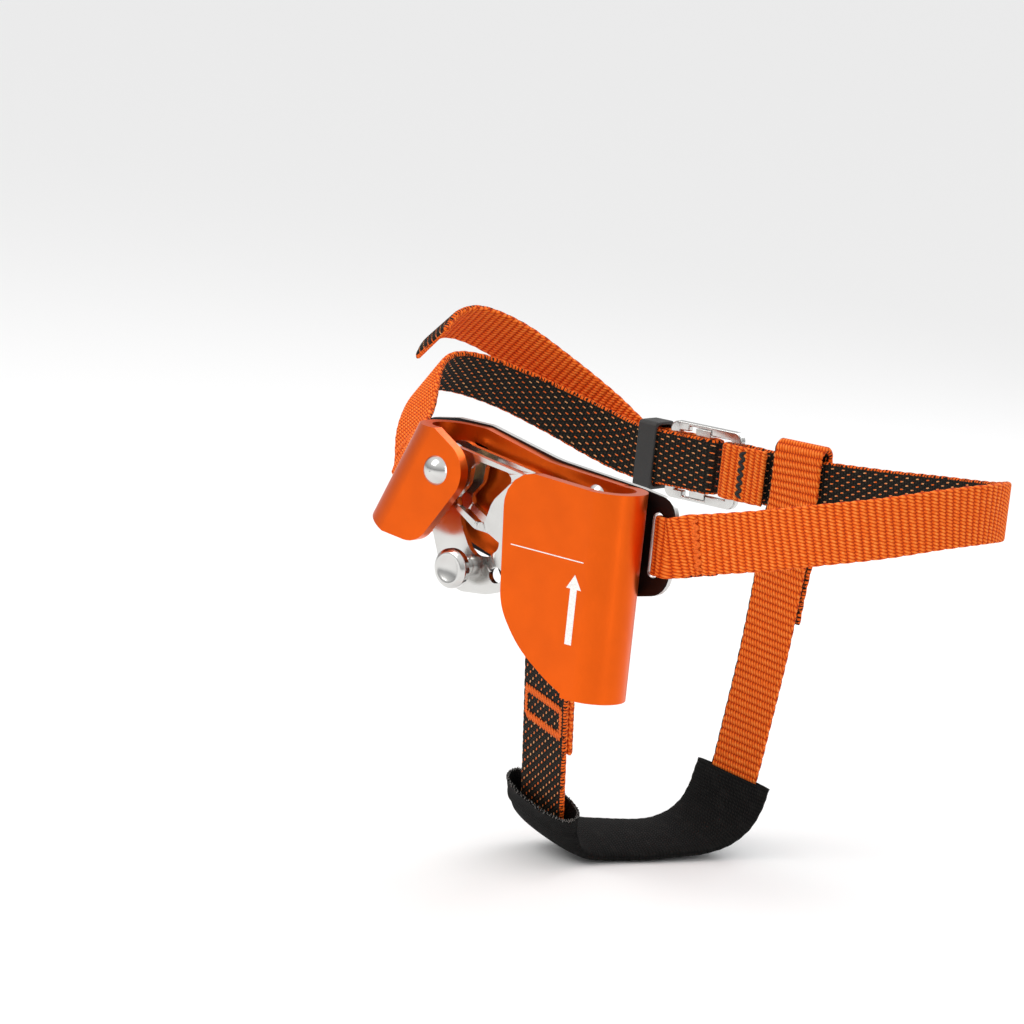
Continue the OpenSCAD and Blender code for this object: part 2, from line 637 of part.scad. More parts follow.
frame();
strap_plate();
plate_rivets();
cam_axle();
cam_bush();
cam_washer();
cam();
lever_knob();
cam_spring();
heel_strap();
instep_strap();
stirrup_strap();
wear_sleeve();
buckle_frame();
buckle_bar();
tail_keeper();
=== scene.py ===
"""Foot ascender worn on the inner side of a boot: finishes, webbing, stitching and stage.

Lengths are metres. +Z points up the rope, +X towards the heel and +Y into the boot.
"""
from math import ceil, cos, exp, pi, radians, sin, tau

import bmesh
import bpy
from bpy.props import FloatProperty, FloatVectorProperty, IntProperty, PointerProperty
from mathutils import Matrix, Vector


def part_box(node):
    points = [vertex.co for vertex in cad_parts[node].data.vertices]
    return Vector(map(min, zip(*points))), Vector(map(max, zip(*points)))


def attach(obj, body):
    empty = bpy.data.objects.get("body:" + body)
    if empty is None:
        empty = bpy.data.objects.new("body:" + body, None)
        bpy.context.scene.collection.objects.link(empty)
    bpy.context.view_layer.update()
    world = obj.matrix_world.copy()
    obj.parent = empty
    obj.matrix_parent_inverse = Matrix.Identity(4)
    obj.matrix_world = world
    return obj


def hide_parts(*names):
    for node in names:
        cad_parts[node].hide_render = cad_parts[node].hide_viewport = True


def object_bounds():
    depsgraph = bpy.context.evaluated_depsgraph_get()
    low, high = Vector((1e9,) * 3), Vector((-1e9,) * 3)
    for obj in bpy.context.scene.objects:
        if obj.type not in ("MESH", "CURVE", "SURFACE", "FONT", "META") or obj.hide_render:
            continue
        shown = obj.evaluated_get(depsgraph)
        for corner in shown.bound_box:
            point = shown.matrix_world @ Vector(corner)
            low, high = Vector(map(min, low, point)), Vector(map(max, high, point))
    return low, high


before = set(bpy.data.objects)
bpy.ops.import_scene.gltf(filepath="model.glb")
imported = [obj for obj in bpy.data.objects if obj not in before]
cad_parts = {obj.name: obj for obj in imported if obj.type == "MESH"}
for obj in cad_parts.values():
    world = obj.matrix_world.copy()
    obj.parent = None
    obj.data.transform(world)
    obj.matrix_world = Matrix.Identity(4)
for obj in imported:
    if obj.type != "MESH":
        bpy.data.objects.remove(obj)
START_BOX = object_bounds()

bl_info = {
    "name": "Foot ascender",
    "version": (1, 0, 0),
    "blender": (4, 5, 0),
    "location": "View3D > Sidebar > Ascender",
    "description": "Builds the finishes, webbing and stage of a strap-on foot ascender",
    "category": "Object",
}

MM = 0.001
UP_AXIS = Vector((0.0, 0.0, 1.0))
# Thickness of the sewing thread, in millimetres
THREAD = 0.85


# ---- settings ----
class MetalSettings(bpy.types.PropertyGroup):
    """Finish of the sheet metal parts"""
    edge_round: FloatProperty(
        name="Edge rounding", description="Radius on the edges of the folded frame",
        default=0.7 * MM, min=0.0, unit="LENGTH")
    steel_edge_round: FloatProperty(
        name="Steel edge rounding", description="Radius on the edges of the stamped steel parts",
        default=0.22 * MM, min=0.0, unit="LENGTH")
    anodised: FloatVectorProperty(
        name="Anodised colour", description="Colour of the anodised frame",
        default=(0.8, 0.108, 0.003), min=0.0, max=1.0, subtype="COLOR")
    stainless: FloatVectorProperty(
        name="Stainless colour", description="Colour of the polished steel parts",
        default=(0.63, 0.625, 0.61), min=0.0, max=1.0, subtype="COLOR")
    # The plate is steel: its flat faces get this near-black colour as painted shade and painted
    # dark reflection
    plate: FloatVectorProperty(
        name="Plate colour", description="Colour of the dark faces of the strap plate",
        default=(0.02, 0.019, 0.02), min=0.0, max=1.0, subtype="COLOR")


class WebbingSettings(bpy.types.PropertyGroup):
    """Size and colour of the webbing and its thread"""
    rib_pitch: FloatProperty(
        name="Rib pitch", description="Distance from one cross rib of the webbing to the next",
        default=2.3 * MM, min=1.0 * MM, unit="LENGTH")
    rib_height: FloatProperty(
        name="Rib height", description="Height of the cross ribs above the valleys between them",
        default=0.48 * MM, min=0.0, unit="LENGTH")
    rings_per_rib: IntProperty(
        name="Rings per rib", description="Mesh rings that draw one rib", default=6, min=3, max=12)
    orange: FloatVectorProperty(
        name="Orange yarn", description="Colour of the orange yarn",
        default=(0.88, 0.128, 0.004), min=0.0, max=1.0, subtype="COLOR")
    black: FloatVectorProperty(
        name="Black yarn", description="Colour of the black yarn",
        default=(0.004, 0.003, 0.002), min=0.0, max=1.0, subtype="COLOR")
    thread: FloatProperty(
        name="Thread", description="Thickness of the sewing thread",
        default=THREAD * MM, min=0.2 * MM, unit="LENGTH")


class StageSettings(bpy.types.PropertyGroup):
    """Camera, lights and floor"""
    lens: FloatProperty(
        name="Lens", description="Focal length of the camera in millimetres",
        default=121.29, min=20.0)
    roll: FloatProperty(
        name="Roll", description="Turn of the camera about its own axis",
        default=radians(6.0), subtype="ANGLE")
    key_power: FloatProperty(
        name="Key light", description="Power of the large key light",
        default=5.4, min=0.0, unit="POWER")
    sky: FloatProperty(
        name="Sky", description="Strength of the even light from above",
        default=0.98, min=0.0)


# ---- node helpers ----
class Graph:
    """Adds nodes to one tree and joins them"""

    def __init__(self, tree):
        self.tree = tree

    def add(self, kind, values=None, **settings):
        node = self.tree.nodes.new(kind)
        for key, value in settings.items():
            setattr(node, key, value)
        for key, value in (values or {}).items():
            self.feed(node.inputs[key], value)
        return node

    def feed(self, socket, value):
        if isinstance(value, bpy.types.NodeSocket):
            self.tree.links.new(value, socket)
        else:
            socket.default_value = value

    def math(self, operation, a, b=0.0, clamp=False):
        node = self.add("ShaderNodeMath", {0: a, 1: b}, operation=operation)
        node.use_clamp = clamp
        return node.outputs[0]

    def ramp(self, value, low, high, start=0.0, end=1.0):
        node = self.add("ShaderNodeMapRange", {
            "Value": value, "From Min": low, "From Max": high, "To Min": start, "To Max": end})
        return node.outputs["Result"]

    def blend(self, factor, a, b):
        node = self.add("ShaderNodeMix", data_type="RGBA")
        self.feed(node.inputs[0], factor)
        self.feed(node.inputs[6], a if isinstance(a, bpy.types.NodeSocket) else (*a[:3], 1.0))
        self.feed(node.inputs[7], b if isinstance(b, bpy.types.NodeSocket) else (*b[:3], 1.0))
        return node.outputs[2]


def new_group(name, inputs, outputs):
    """A shader node group with named sockets; returns its graph, input node and output node"""
    tree = bpy.data.node_groups.new(name, "ShaderNodeTree")
    for label, kind, value in inputs:
        socket = tree.interface.new_socket(label, in_out="INPUT", socket_type=kind)
        if value is not None:
            socket.default_value = value
    for label in outputs:
        tree.interface.new_socket(label, in_out="OUTPUT", socket_type="NodeSocketFloat")
    graph = Graph(tree)
    return graph, graph.add("NodeGroupInput"), graph.add("NodeGroupOutput")


def metal_grain_group():
    """Fine drawn grain and soft stains: puts out a roughness change and a height"""
    graph, source, result = new_group("Metal grain", [
        ("Vector", "NodeSocketVector", None), ("Grain", "NodeSocketFloat", 2500.0),
        ("Stretch", "NodeSocketFloat", 12.0)], ["Stain", "Height"])
    long_way = graph.add("ShaderNodeCombineXYZ", {0: 1.0, 1: 1.0, 2: source.outputs["Stretch"]})
    drawn = graph.add("ShaderNodeVectorMath", {0: source.outputs["Vector"], 1: long_way.outputs[0]},
                      operation="DIVIDE")
    grain = graph.add("ShaderNodeTexNoise", {
        "Vector": drawn.outputs[0], "Scale": source.outputs["Grain"], "Detail": 3.0})
    stain = graph.add("ShaderNodeTexNoise", {
        "Vector": source.outputs["Vector"], "Scale": 90.0, "Detail": 4.0})
    graph.feed(result.inputs["Stain"], graph.ramp(stain.outputs["Fac"], 0.35, 0.7))
    graph.feed(result.inputs["Height"], grain.outputs["Fac"])
    return graph.tree


def yarn_group():
    """Staggered yarn strokes on a strip, from across and along in metres and a stroke's size"""
    graph, source, result = new_group("Yarn strokes", [
        ("Across", "NodeSocketFloat", 0.0), ("Along", "NodeSocketFloat", 0.0),
        ("Pitch across", "NodeSocketFloat", 0.001), ("Pitch along", "NodeSocketFloat", 0.001),
        ("Width", "NodeSocketFloat", 0.4), ("Length", "NodeSocketFloat", 0.45),
        ("Slant", "NodeSocketFloat", 0.3)], ["Stroke", "Row"])
    along = graph.math("DIVIDE", source.outputs["Along"], source.outputs["Pitch along"])
    row = graph.math("FLOOR", along)
    v = graph.math("SUBTRACT", graph.math("FRACT", along), 0.5)
    shift = graph.math("MULTIPLY", row, 0.5)
    slant = graph.math("MULTIPLY", v, source.outputs["Slant"])
    columns = graph.math("DIVIDE", source.outputs["Across"], source.outputs["Pitch across"])
    column = graph.math("ADD", graph.math("ADD", columns, shift), slant)
    u = graph.math("SUBTRACT", graph.math("FRACT", column), 0.5)
    share_u = graph.math("ABSOLUTE", graph.math("DIVIDE", u, source.outputs["Width"]))
    share_v = graph.math("ABSOLUTE", graph.math("DIVIDE", v, source.outputs["Length"]))
    spread = graph.math("ADD", graph.math("POWER", share_u, 2.0), graph.math("POWER", share_v, 2.0))
    graph.feed(result.inputs["Stroke"], graph.math("SUBTRACT", 1.0, spread, clamp=True))
    graph.feed(result.inputs["Row"], row)
    return graph.tree


GROUPS = {}
FINISHES = {}


def use_group(graph, name, values):
    """Places a shared group of nodes with its own values"""
    return graph.add("ShaderNodeGroup", values, node_tree=GROUPS[name])


def new_finish(name):
    """A new material; returns its graph and its main shader"""
    material = bpy.data.materials.new(name)
    material.use_nodes = True
    FINISHES[name] = material
    graph = Graph(material.node_tree)
    return graph, material.node_tree.nodes["Principled BSDF"]


def bump(graph, height, depth):
    """The normal of a surface raised by a height from 0 to 1, depth metres at the most"""
    node = graph.add("ShaderNodeBump", {"Height": height, "Distance": depth, "Strength": 1.0})
    return node.outputs["Normal"]


def metal_finish(name, colour, rough, spread, grain=2500.0, stretch=12.0, depth=3e-6, metallic=1.0):
    """A plain metal with a drawn grain and a little staining"""
    graph, shader = new_finish(name)
    place = graph.add("ShaderNodeTexCoord").outputs["Object"]
    look = use_group(graph, "Metal grain", {"Vector": place, "Grain": grain, "Stretch": stretch})
    shader.inputs["Metallic"].default_value = metallic
    tint = graph.blend(graph.math("MULTIPLY", look.outputs["Stain"], 0.25), colour,
                       [0.8 * c for c in colour])
    graph.feed(shader.inputs["Base Color"], tint)
    graph.feed(shader.inputs["Roughness"],
               graph.ramp(look.outputs["Stain"], 0.0, 1.0, rough, rough + spread))
    graph.feed(shader.inputs["Normal"], bump(graph, look.outputs["Height"], depth))
    return graph, shader, look


def anodised_finish(settings):
    """Satin anodised sheet: a dyed metal with a fine blasted grain"""
    _, shader, _ = metal_finish("Orange anodised", settings.anodised, 0.29, 0.1,
                                grain=3400.0, stretch=1.0, depth=2.4e-5, metallic=0.9)
    shader.inputs["Coat Weight"].default_value = 0.04
    shader.inputs["Coat Roughness"].default_value = 0.2


def plate_finish(settings):
    """Steel plate: its flat faces are painted near black as painted shade and painted dark
    reflection, its edge faces keep the steel colour
    """
    graph, shader, look = metal_finish("Plate painted shade", settings.plate, 0.3, 0.12, metallic=0.9)
    plate_rim_mask = graph.add("ShaderNodeAttribute", attribute_name="plate_rim").outputs["Fac"]
    # Near-black flat faces with a little staining: painted shade and painted dark reflection
    dark = graph.blend(graph.math("MULTIPLY", look.outputs["Stain"], 0.4), settings.plate,
                       [1.6 * c for c in settings.plate])
    graph.feed(shader.inputs["Base Color"], graph.blend(plate_rim_mask, dark, settings.stainless))


def webbing_finish(name, settings):
    """Two-faced webbing: orange cross ribs on one face, black with orange flecks on the other"""
    graph, shader = new_finish(name)
    strip = graph.add("ShaderNodeUVMap", uv_map="strip")
    uv = graph.add("ShaderNodeSeparateXYZ", {0: strip.outputs["UV"]})
    across, along = uv.outputs["X"], uv.outputs["Y"]
    reverse = graph.add("ShaderNodeAttribute", attribute_name="reverse").outputs["Fac"]
    selvedge = graph.add("ShaderNodeAttribute", attribute_name="selvedge").outputs["Fac"]
    ribs = use_group(graph, "Yarn strokes", {
        "Across": across, "Along": along, "Pitch across": 1.02 * MM,
        "Pitch along": settings.rib_pitch, "Width": 0.52, "Length": 0.56, "Slant": 0.9})
    weave = use_group(graph, "Yarn strokes", {
        "Across": across, "Along": along, "Pitch across": 1.2 * MM,
        "Pitch along": 1.05 * MM, "Width": 0.5, "Length": 0.55, "Slant": 0.0})
    fleck = use_group(graph, "Yarn strokes", {
        "Across": across, "Along": along, "Pitch across": 2.4 * MM,
        "Pitch along": 2.1 * MM, "Width": 0.105, "Length": 0.34, "Slant": 0.1})
    knots = use_group(graph, "Yarn strokes", {
        "Across": 0.0, "Along": along, "Pitch across": 1.0 * MM,
        "Pitch along": 1.3 * MM, "Width": 2.0, "Length": 0.44, "Slant": 0.0})
    noise = graph.add("ShaderNodeTexNoise", {
        "Vector": strip.outputs["UV"], "Scale": 900.0, "Detail": 2.0}).outputs["Fac"]
    # Rib strokes: the darker colour between the strokes is painted shade, the paler colour at their
    # centres is painted highlight
    stroke_highlight = [min(1.0, c * f) for c, f in zip(settings.orange, (1.1, 3.0, 20.0))]
    gap_shade = [c * f for c, f in zip(settings.orange, (0.5, 0.28, 0.15))]
    shade = graph.math("MULTIPLY", ribs.outputs["Stroke"], graph.ramp(noise, 0.3, 0.7, 0.6, 1.2))
    orange = graph.blend(graph.ramp(shade, 0.0, 0.45), gap_shade, settings.orange)
    orange = graph.blend(graph.ramp(shade, 0.5, 1.05, 0.0, 0.6), orange, stroke_highlight)
    grey = [c * 5 for c in settings.black]
    black = graph.blend(weave.outputs["Stroke"], settings.black, grey)
    tan = graph.blend(graph.ramp(noise, 0.42, 0.6), settings.orange, (0.8, 0.4, 0.17))
    black = graph.blend(graph.ramp(fleck.outputs["Stroke"], 0.1, 0.4), black, tan)
    broken = graph.math("MULTIPLY", knots.outputs["Stroke"], graph.ramp(noise, 0.38, 0.52))
    edge = graph.blend(graph.ramp(broken, 0.15, 0.45), settings.black, settings.orange)
    black = graph.blend(graph.ramp(selvedge, 0.35, 0.65), black, edge)
    graph.feed(shader.inputs["Base Color"],
               graph.blend(graph.ramp(reverse, 0.45, 0.55), orange, black))
    shader.inputs["Roughness"].default_value = 0.8
    shader.inputs["Specular IOR Level"].default_value = 0.2
    height = graph.add("ShaderNodeMix", data_type="FLOAT")
    graph.feed(height.inputs[0], reverse)
    graph.feed(height.inputs[2], ribs.outputs["Stroke"])
    graph.feed(height.inputs[3],
               graph.math("MAXIMUM", weave.outputs["Stroke"], fleck.outputs["Stroke"]))
    graph.feed(shader.inputs["Normal"], bump(graph, height.outputs[0], 0.22 * MM))


def sleeve_finish():
    """Black tubular webbing with a fine twill"""
    graph, shader = new_finish("Sleeve twill")
    strip = graph.add("ShaderNodeUVMap", uv_map="strip")
    uv = graph.add("ShaderNodeSeparateXYZ", {0: strip.outputs["UV"]})
    twill = use_group(graph, "Yarn strokes", {
        "Across": uv.outputs["X"], "Along": uv.outputs["Y"], "Pitch across": 0.9 * MM,
        "Pitch along": 1.1 * MM, "Width": 0.42, "Length": 0.5, "Slant": 0.9})
    noise = graph.add("ShaderNodeTexNoise", {
        "Vector": strip.outputs["UV"], "Scale": 260.0, "Detail": 3.0})
    dark = graph.blend(twill.outputs["Stroke"], (0.003, 0.003, 0.003), (0.013, 0.012, 0.011))
    dust = graph.ramp(noise.outputs["Fac"], 0.5, 0.75, 0.0, 0.2)
    dusty = graph.blend(dust, dark, (0.035, 0.033, 0.03))
    graph.feed(shader.inputs["Base Color"], dusty)
    shader.inputs["Roughness"].default_value = 0.9
    shader.inputs["Specular IOR Level"].default_value = 0.15
    graph.feed(shader.inputs["Normal"], bump(graph, twill.outputs["Stroke"], 0.2 * MM))


def thread_finish(name, colour):
    """Twisted sewing thread"""
    graph, shader = new_finish(name)
    place = graph.add("ShaderNodeTexCoord").outputs["Object"]
    twist = graph.add("ShaderNodeTexNoise", {"Vector": place, "Scale": 3600.0, "Detail": 2.0})
    dark = [c * 0.6 for c in colour]
    tint = graph.blend(graph.ramp(twist.outputs["Fac"], 0.35, 0.65), dark, colour)
    graph.feed(shader.inputs["Base Color"], tint)
    shader.inputs["Roughness"].default_value = 0.75
    shader.inputs["Specular IOR Level"].default_value = 0.25
    graph.feed(shader.inputs["Normal"], bump(graph, twist.outputs["Fac"], 0.12 * MM))


def keeper_finish():
    """Moulded black elastomer"""
    graph, shader = new_finish("Keeper rubber")
    place = graph.add("ShaderNodeTexCoord").outputs["Object"]
    pores = graph.add("ShaderNodeTexNoise", {"Vector": place, "Scale": 1800.0, "Detail": 3.0})
    tint = graph.blend(pores.outputs["Fac"], (0.012, 0.012, 0.012), (0.035, 0.034, 0.033))
    graph.feed(shader.inputs["Base Color"], tint)
    graph.feed(shader.inputs["Roughness"], graph.ramp(pores.outputs["Fac"], 0.3, 0.7, 0.5, 0.72))
    graph.feed(shader.inputs["Normal"], bump(graph, pores.outputs["Fac"], 0.05 * MM))


def ink_finish():
    """White print on the frame"""
    graph, shader = new_finish("White ink")
    place = graph.add("ShaderNodeTexCoord").outputs["Object"]
    speck = graph.add("ShaderNodeTexNoise", {"Vector": place, "Scale": 2600.0, "Detail": 2.0})
    cover = graph.ramp(speck.outputs["Fac"], 0.3, 0.6)
    tint = graph.blend(cover, (0.78, 0.74, 0.7), (0.9, 0.89, 0.87))
    graph.feed(shader.inputs["Base Color"], tint)
    shader.inputs["Roughness"].default_value = 0.45


# ---- mesh helpers ----
def new_piece(name, mesh, finish):
    """An object at the origin with one finish"""
    piece = bpy.data.objects.new(name, mesh)
    bpy.context.scene.collection.objects.link(piece)
    mesh.materials.clear()
    mesh.materials.append(FINISHES[finish])
    return piece


def settle(piece):
    """Turns what the modifiers make into the piece's plain mesh"""
    bpy.context.view_layer.update()
    graph = bpy.context.evaluated_depsgraph_get()
    finished = bpy.data.meshes.new_from_object(piece.evaluated_get(graph), depsgraph=graph)
    piece.modifiers.clear()
    piece.data = finished


def finish_node(node, finish):
    """Gives a carried-over part its finish"""
    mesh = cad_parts[node].data
    mesh.materials.clear()
    mesh.materials.append(FINISHES[finish])


def edged_copy(node, name, width, finish, body, steps=2):
    """A copy of a sheet metal part with its edges rounded"""
    shape = bmesh.new()
    shape.from_mesh(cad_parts[node].data)
    bmesh.ops.remove_doubles(shape, verts=shape.verts, dist=2e-6)
    bmesh.ops.dissolve_limit(shape, angle_limit=radians(0.5), verts=shape.verts, edges=shape.edges)
    sharp = [e for e in shape.edges if e.is_manifold and e.calc_face_angle(0.0) > radians(34)]
    bmesh.ops.bevel(shape, geom=sharp, offset=width, offset_type="OFFSET", segments=steps,
                    profile=0.5, affect="EDGES", clamp_overlap=True)
    bmesh.ops.remove_doubles(shape, verts=shape.verts, dist=1e-6)
    bmesh.ops.triangulate(shape, faces=shape.faces)
    mesh = bpy.data.meshes.new(name)
    shape.to_mesh(mesh)
    shape.free()
    mesh.shade_smooth()
    piece = new_piece(name, mesh, finish)
    even = piece.modifiers.new("Even shading", "WEIGHTED_NORMAL")
    even.weight = 90
    settle(piece)
    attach(piece, body)
    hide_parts(node)
    return piece


def mark_plate_rims(mesh):
    """Marks the edge faces of a flat plate, which keep the steel colour while its flat faces carry
    painted shade, for its finish
    """
    layer = mesh.attributes.new("plate_rim", "FLOAT", "FACE")
    layer.data.foreach_set("value", [float(abs(face.normal.y) < 0.85) for face in mesh.polygons])


# ---- routes of the webbing, as rows of place and width direction in millimetres ----
WEB_W, WEB_T = 18.0, 2.2
PLATE_T, SLOT_H, BAR_W = 2.0, 3.6, 4.2
FAR_Y, HEEL_X, BUCKLE_Z = 93.0, 119.0, 24.0
LAYER = 2.5 / 2 + WEB_T / 2 + 0.3
REAR_BAR_X, SLIDE_BAR_X = -1.0, -9.0
AXLE = (-29.7, 26.4)
TONGUE_LEAN, STIRRUP_LEAN, RUN_IN = radians(25.4), radians(18.6), radians(28)
EAR_SLOT = (38.8, 15.2)
STIRRUP_SLOT = (7.7, -20.0)
INSTEP_SLOT = (AXLE[0] - 21.3, AXLE[1] - 3.4)
UP = (0.0, 0.0, 1.0)
SHIN = (0.62, 0.0, 0.78)


def flat(x, y, z, w=UP):
    """A row of a route: its place and the direction of the webbing's width"""
    return (x, y, z, *w)


def bar_turn(slot, out, w):
    """The turn of a strap round a plate bar; out points from the slot to the bar"""
    far, back = SLOT_H / 2 + BAR_W, WEB_T / 2 + 0.4
    front = -PLATE_T - back
    steps = [(far + 1.5, back), (SLOT_H / 2 + 0.8, back), (0.3, 0.2), (0, -PLATE_T / 2),
             (0.3, -PLATE_T - 0.2), (SLOT_H / 2 + 0.8, front), (far + 0.4, front + 0.1)]
    return [(slot[0] + out[0] * d, y, slot[1] + out[1] * d, w[0], 0.0, w[1]) for d, y in steps]


def heel_route():
    """From the sewn tail, round the ear of the plate and the heel, to the rear bar of the buckle"""
    tail = [flat(56.8, 2.2, 18.4), flat(50.8, 1.8, 17)]
    near = [flat(51.5, -1.7, 17.8), flat(58, 0, 19.2), flat(72, 3.5, 22.6), flat(88, 9.5, 27),
            flat(HEEL_X - 17, 19, 30.8), flat(HEEL_X - 6, 33, 34.4), flat(HEEL_X, 50, 36),
            flat(HEEL_X - 5, 67, 34.4)]
    far = [flat(HEEL_X - 18, FAR_Y - 12, 31), flat(80, FAR_Y - 5, 28.4),
           flat(60, FAR_Y - 1.6, 26.2), flat(40, FAR_Y, 24.6), flat(28, FAR_Y, BUCKLE_Z),
           flat(18, FAR_Y + 0.4, BUCKLE_Z)]
    x, z = REAR_BAR_X, BUCKLE_Z
    rear = [flat(8, FAR_Y + LAYER - 0.4, z), flat(3, FAR_Y + LAYER, z), flat(x, FAR_Y + LAYER, z),
            flat(x - 1.4, FAR_Y + 1.6, z), flat(x - 1.7, FAR_Y, z), flat(x - 1.4, FAR_Y - 1.6, z),
            flat(x, FAR_Y - LAYER, z), flat(3, FAR_Y - LAYER, z), flat(14, FAR_Y - LAYER, z)]
    return tail + bar_turn(EAR_SLOT, (1, 0.06), (0, 1)) + near + far + rear


def instep_route():
    """From the sewn tail, over the instep and round the sliding bar, to the free end"""
    lean_out = (-cos(TONGUE_LEAN), sin(TONGUE_LEAN))
    lean_up = (sin(TONGUE_LEAN), cos(TONGUE_LEAN))
    tail = [flat(-62, 9.6, 25.2, (0.55, 0.1, 0.8)), flat(-59.4, 5.4, 24.4, (0.5, 0, 0.86))]
    near = [flat(-60.6, 2.6, 27.2, (0.52, 0, 0.84)), flat(-66, 11, 33, (0.64, 0.14, 0.74)),
            flat(-72, 20, 38.6, (0.66, 0.1, 0.75)), flat(-77.5, 30, 43.4, SHIN),
            flat(-80.5, 41, 45.4, SHIN), flat(-79, 54, 44, SHIN)]
    far = [flat(-73, FAR_Y - 25, 39.6, (0.58, -0.08, 0.8)),
           flat(-63, FAR_Y - 13, 33.6, (0.45, -0.08, 0.88)),
           flat(-51, FAR_Y - 5.4, 28, (0.25, 0, 0.95)), flat(-42, FAR_Y - LAYER, 25, (0.1, 0, 1)),
           flat(-33, FAR_Y - LAYER, BUCKLE_Z), flat(-20, FAR_Y - LAYER, BUCKLE_Z)]
    x, z = SLIDE_BAR_X, BUCKLE_Z
    turn = [flat(x - 2, FAR_Y - LAYER, z), flat(x + 1, FAR_Y - LAYER, z),
            flat(x + 2.4, FAR_Y - 1.6, z), flat(x + 2.7, FAR_Y, z), flat(x + 2.4, FAR_Y + 1.6, z),
            flat(x + 1, FAR_Y + LAYER, z), flat(x - 2, FAR_Y + LAYER, z)]
    free_end = [flat(-24, FAR_Y + LAYER, BUCKLE_Z), flat(-34, FAR_Y + LAYER, BUCKLE_Z),
                flat(-42, FAR_Y + LAYER, 25.6, (0.08, 0, 1)),
                flat(-54, FAR_Y + 0.6, 33, (0.35, 0, 0.9)),
                flat(-67, FAR_Y - 9, 44, (0.6, 0, 0.8)),
                flat(-78, FAR_Y - 22, 54.5, (0.72, 0, 0.7)),
                flat(-84.5, FAR_Y - 36, 60, (0.76, 0, 0.66)),
                flat(-86, FAR_Y - 47, 59, (0.74, 0, 0.68)),
                flat(-83.5, FAR_Y - 56, 54, (0.68, 0, 0.74))]
    return tail + bar_turn(INSTEP_SLOT, lean_out, lean_up) + near + far + turn + free_end


STIRRUP_DOWN = (-sin(STIRRUP_LEAN), -cos(STIRRUP_LEAN))
STIRRUP_ACROSS = Vector((cos(STIRRUP_LEAN), 0.0, -sin(STIRRUP_LEAN)))
RUN_DIR = Vector((STIRRUP_DOWN[0] * cos(RUN_IN), sin(RUN_IN), STIRRUP_DOWN[1] * cos(RUN_IN)))
RUN_BACK = Vector((-STIRRUP_DOWN[0] * sin(RUN_IN), cos(RUN_IN), -STIRRUP_DOWN[1] * sin(RUN_IN)))
BEND_AT = Vector((STIRRUP_SLOT[0] + STIRRUP_DOWN[0] * 6.9, -PLATE_T - WEB_T / 2 - 0.4,
                  STIRRUP_SLOT[1] + STIRRUP_DOWN[1] * 6.9))


def on_run(along, depth=0.0):
    """A row on the stirrup strap's straight run, below the bend under its slot"""
    return (*(BEND_AT + RUN_DIR * along + RUN_BACK * depth), *STIRRUP_ACROSS)


def sole_row(x, y, z, lean):
    """A row whose width leans down towards the heel by a number of degrees"""
    return flat(x, y, z, (cos(radians(lean)), 0.0, -sin(radians(lean))))


UNDER_SOLE = [
    sole_row(-13.4, 28.4, -83, 18), sole_row(-14.6, 34, -89.5, 17), sole_row(-13.4, 42, -93, 15),
    sole_row(-9, 53, -94.6, 10), sole_row(-2, 66, -95, 6), sole_row(4, FAR_Y - 14, -94.2, 2),
    sole_row(8, FAR_Y - 5, -90.6, 0), sole_row(10.4, FAR_Y + 0.6, -84, 0),
    sole_row(12, FAR_Y + 3, -74, 0)]


def stirrup_route():
    """From the stitched end, round the plate and under the sole, to the loop on the heel strap"""
    fold = WEB_T + 0.4
    end = [on_run(37, fold), on_run(28, fold), on_run(18, fold), on_run(9, fold + 0.2)]
    run = [on_run(s) for s in (3, 12, 24, 36, 48, 60)]
    far = [(14.5, 3.4, -56, -8), (18, 3, -32, -8), (21.6, 0.8, -8, -8), (24.4, -2.4, 9, -6),
           (26, -3.1, 20, 0), (26, -3.1, 32, 0), (26, -2.5, 35.4, 0), (26, 0, 37, 0),
           (26, 2.5, 35.4, 0), (26, 3.1, 32, 0), (26, 3.1, 20, 0), (24.6, 2.7, 8, -6),
           (21.8, 3.6, -8, -8), (20, 4.8, -20, -8)]
    across = (STIRRUP_ACROSS.x, STIRRUP_ACROSS.z)
    return (end + bar_turn(STIRRUP_SLOT, STIRRUP_DOWN, across) + run + UNDER_SOLE
            + [sole_row(x, FAR_Y + y, z, lean) for x, y, z, lean in far])


def through(a, b, c, d, t):
    """A point on the smooth curve from b to c"""
    return [0.5 * (2 * q + (r - p) * t + (2 * p - 5 * q + 4 * r - s) * t * t
                   + (3 * q - p - 3 * r + s) * t ** 3) for p, q, r, s in zip(a, b, c, d)]


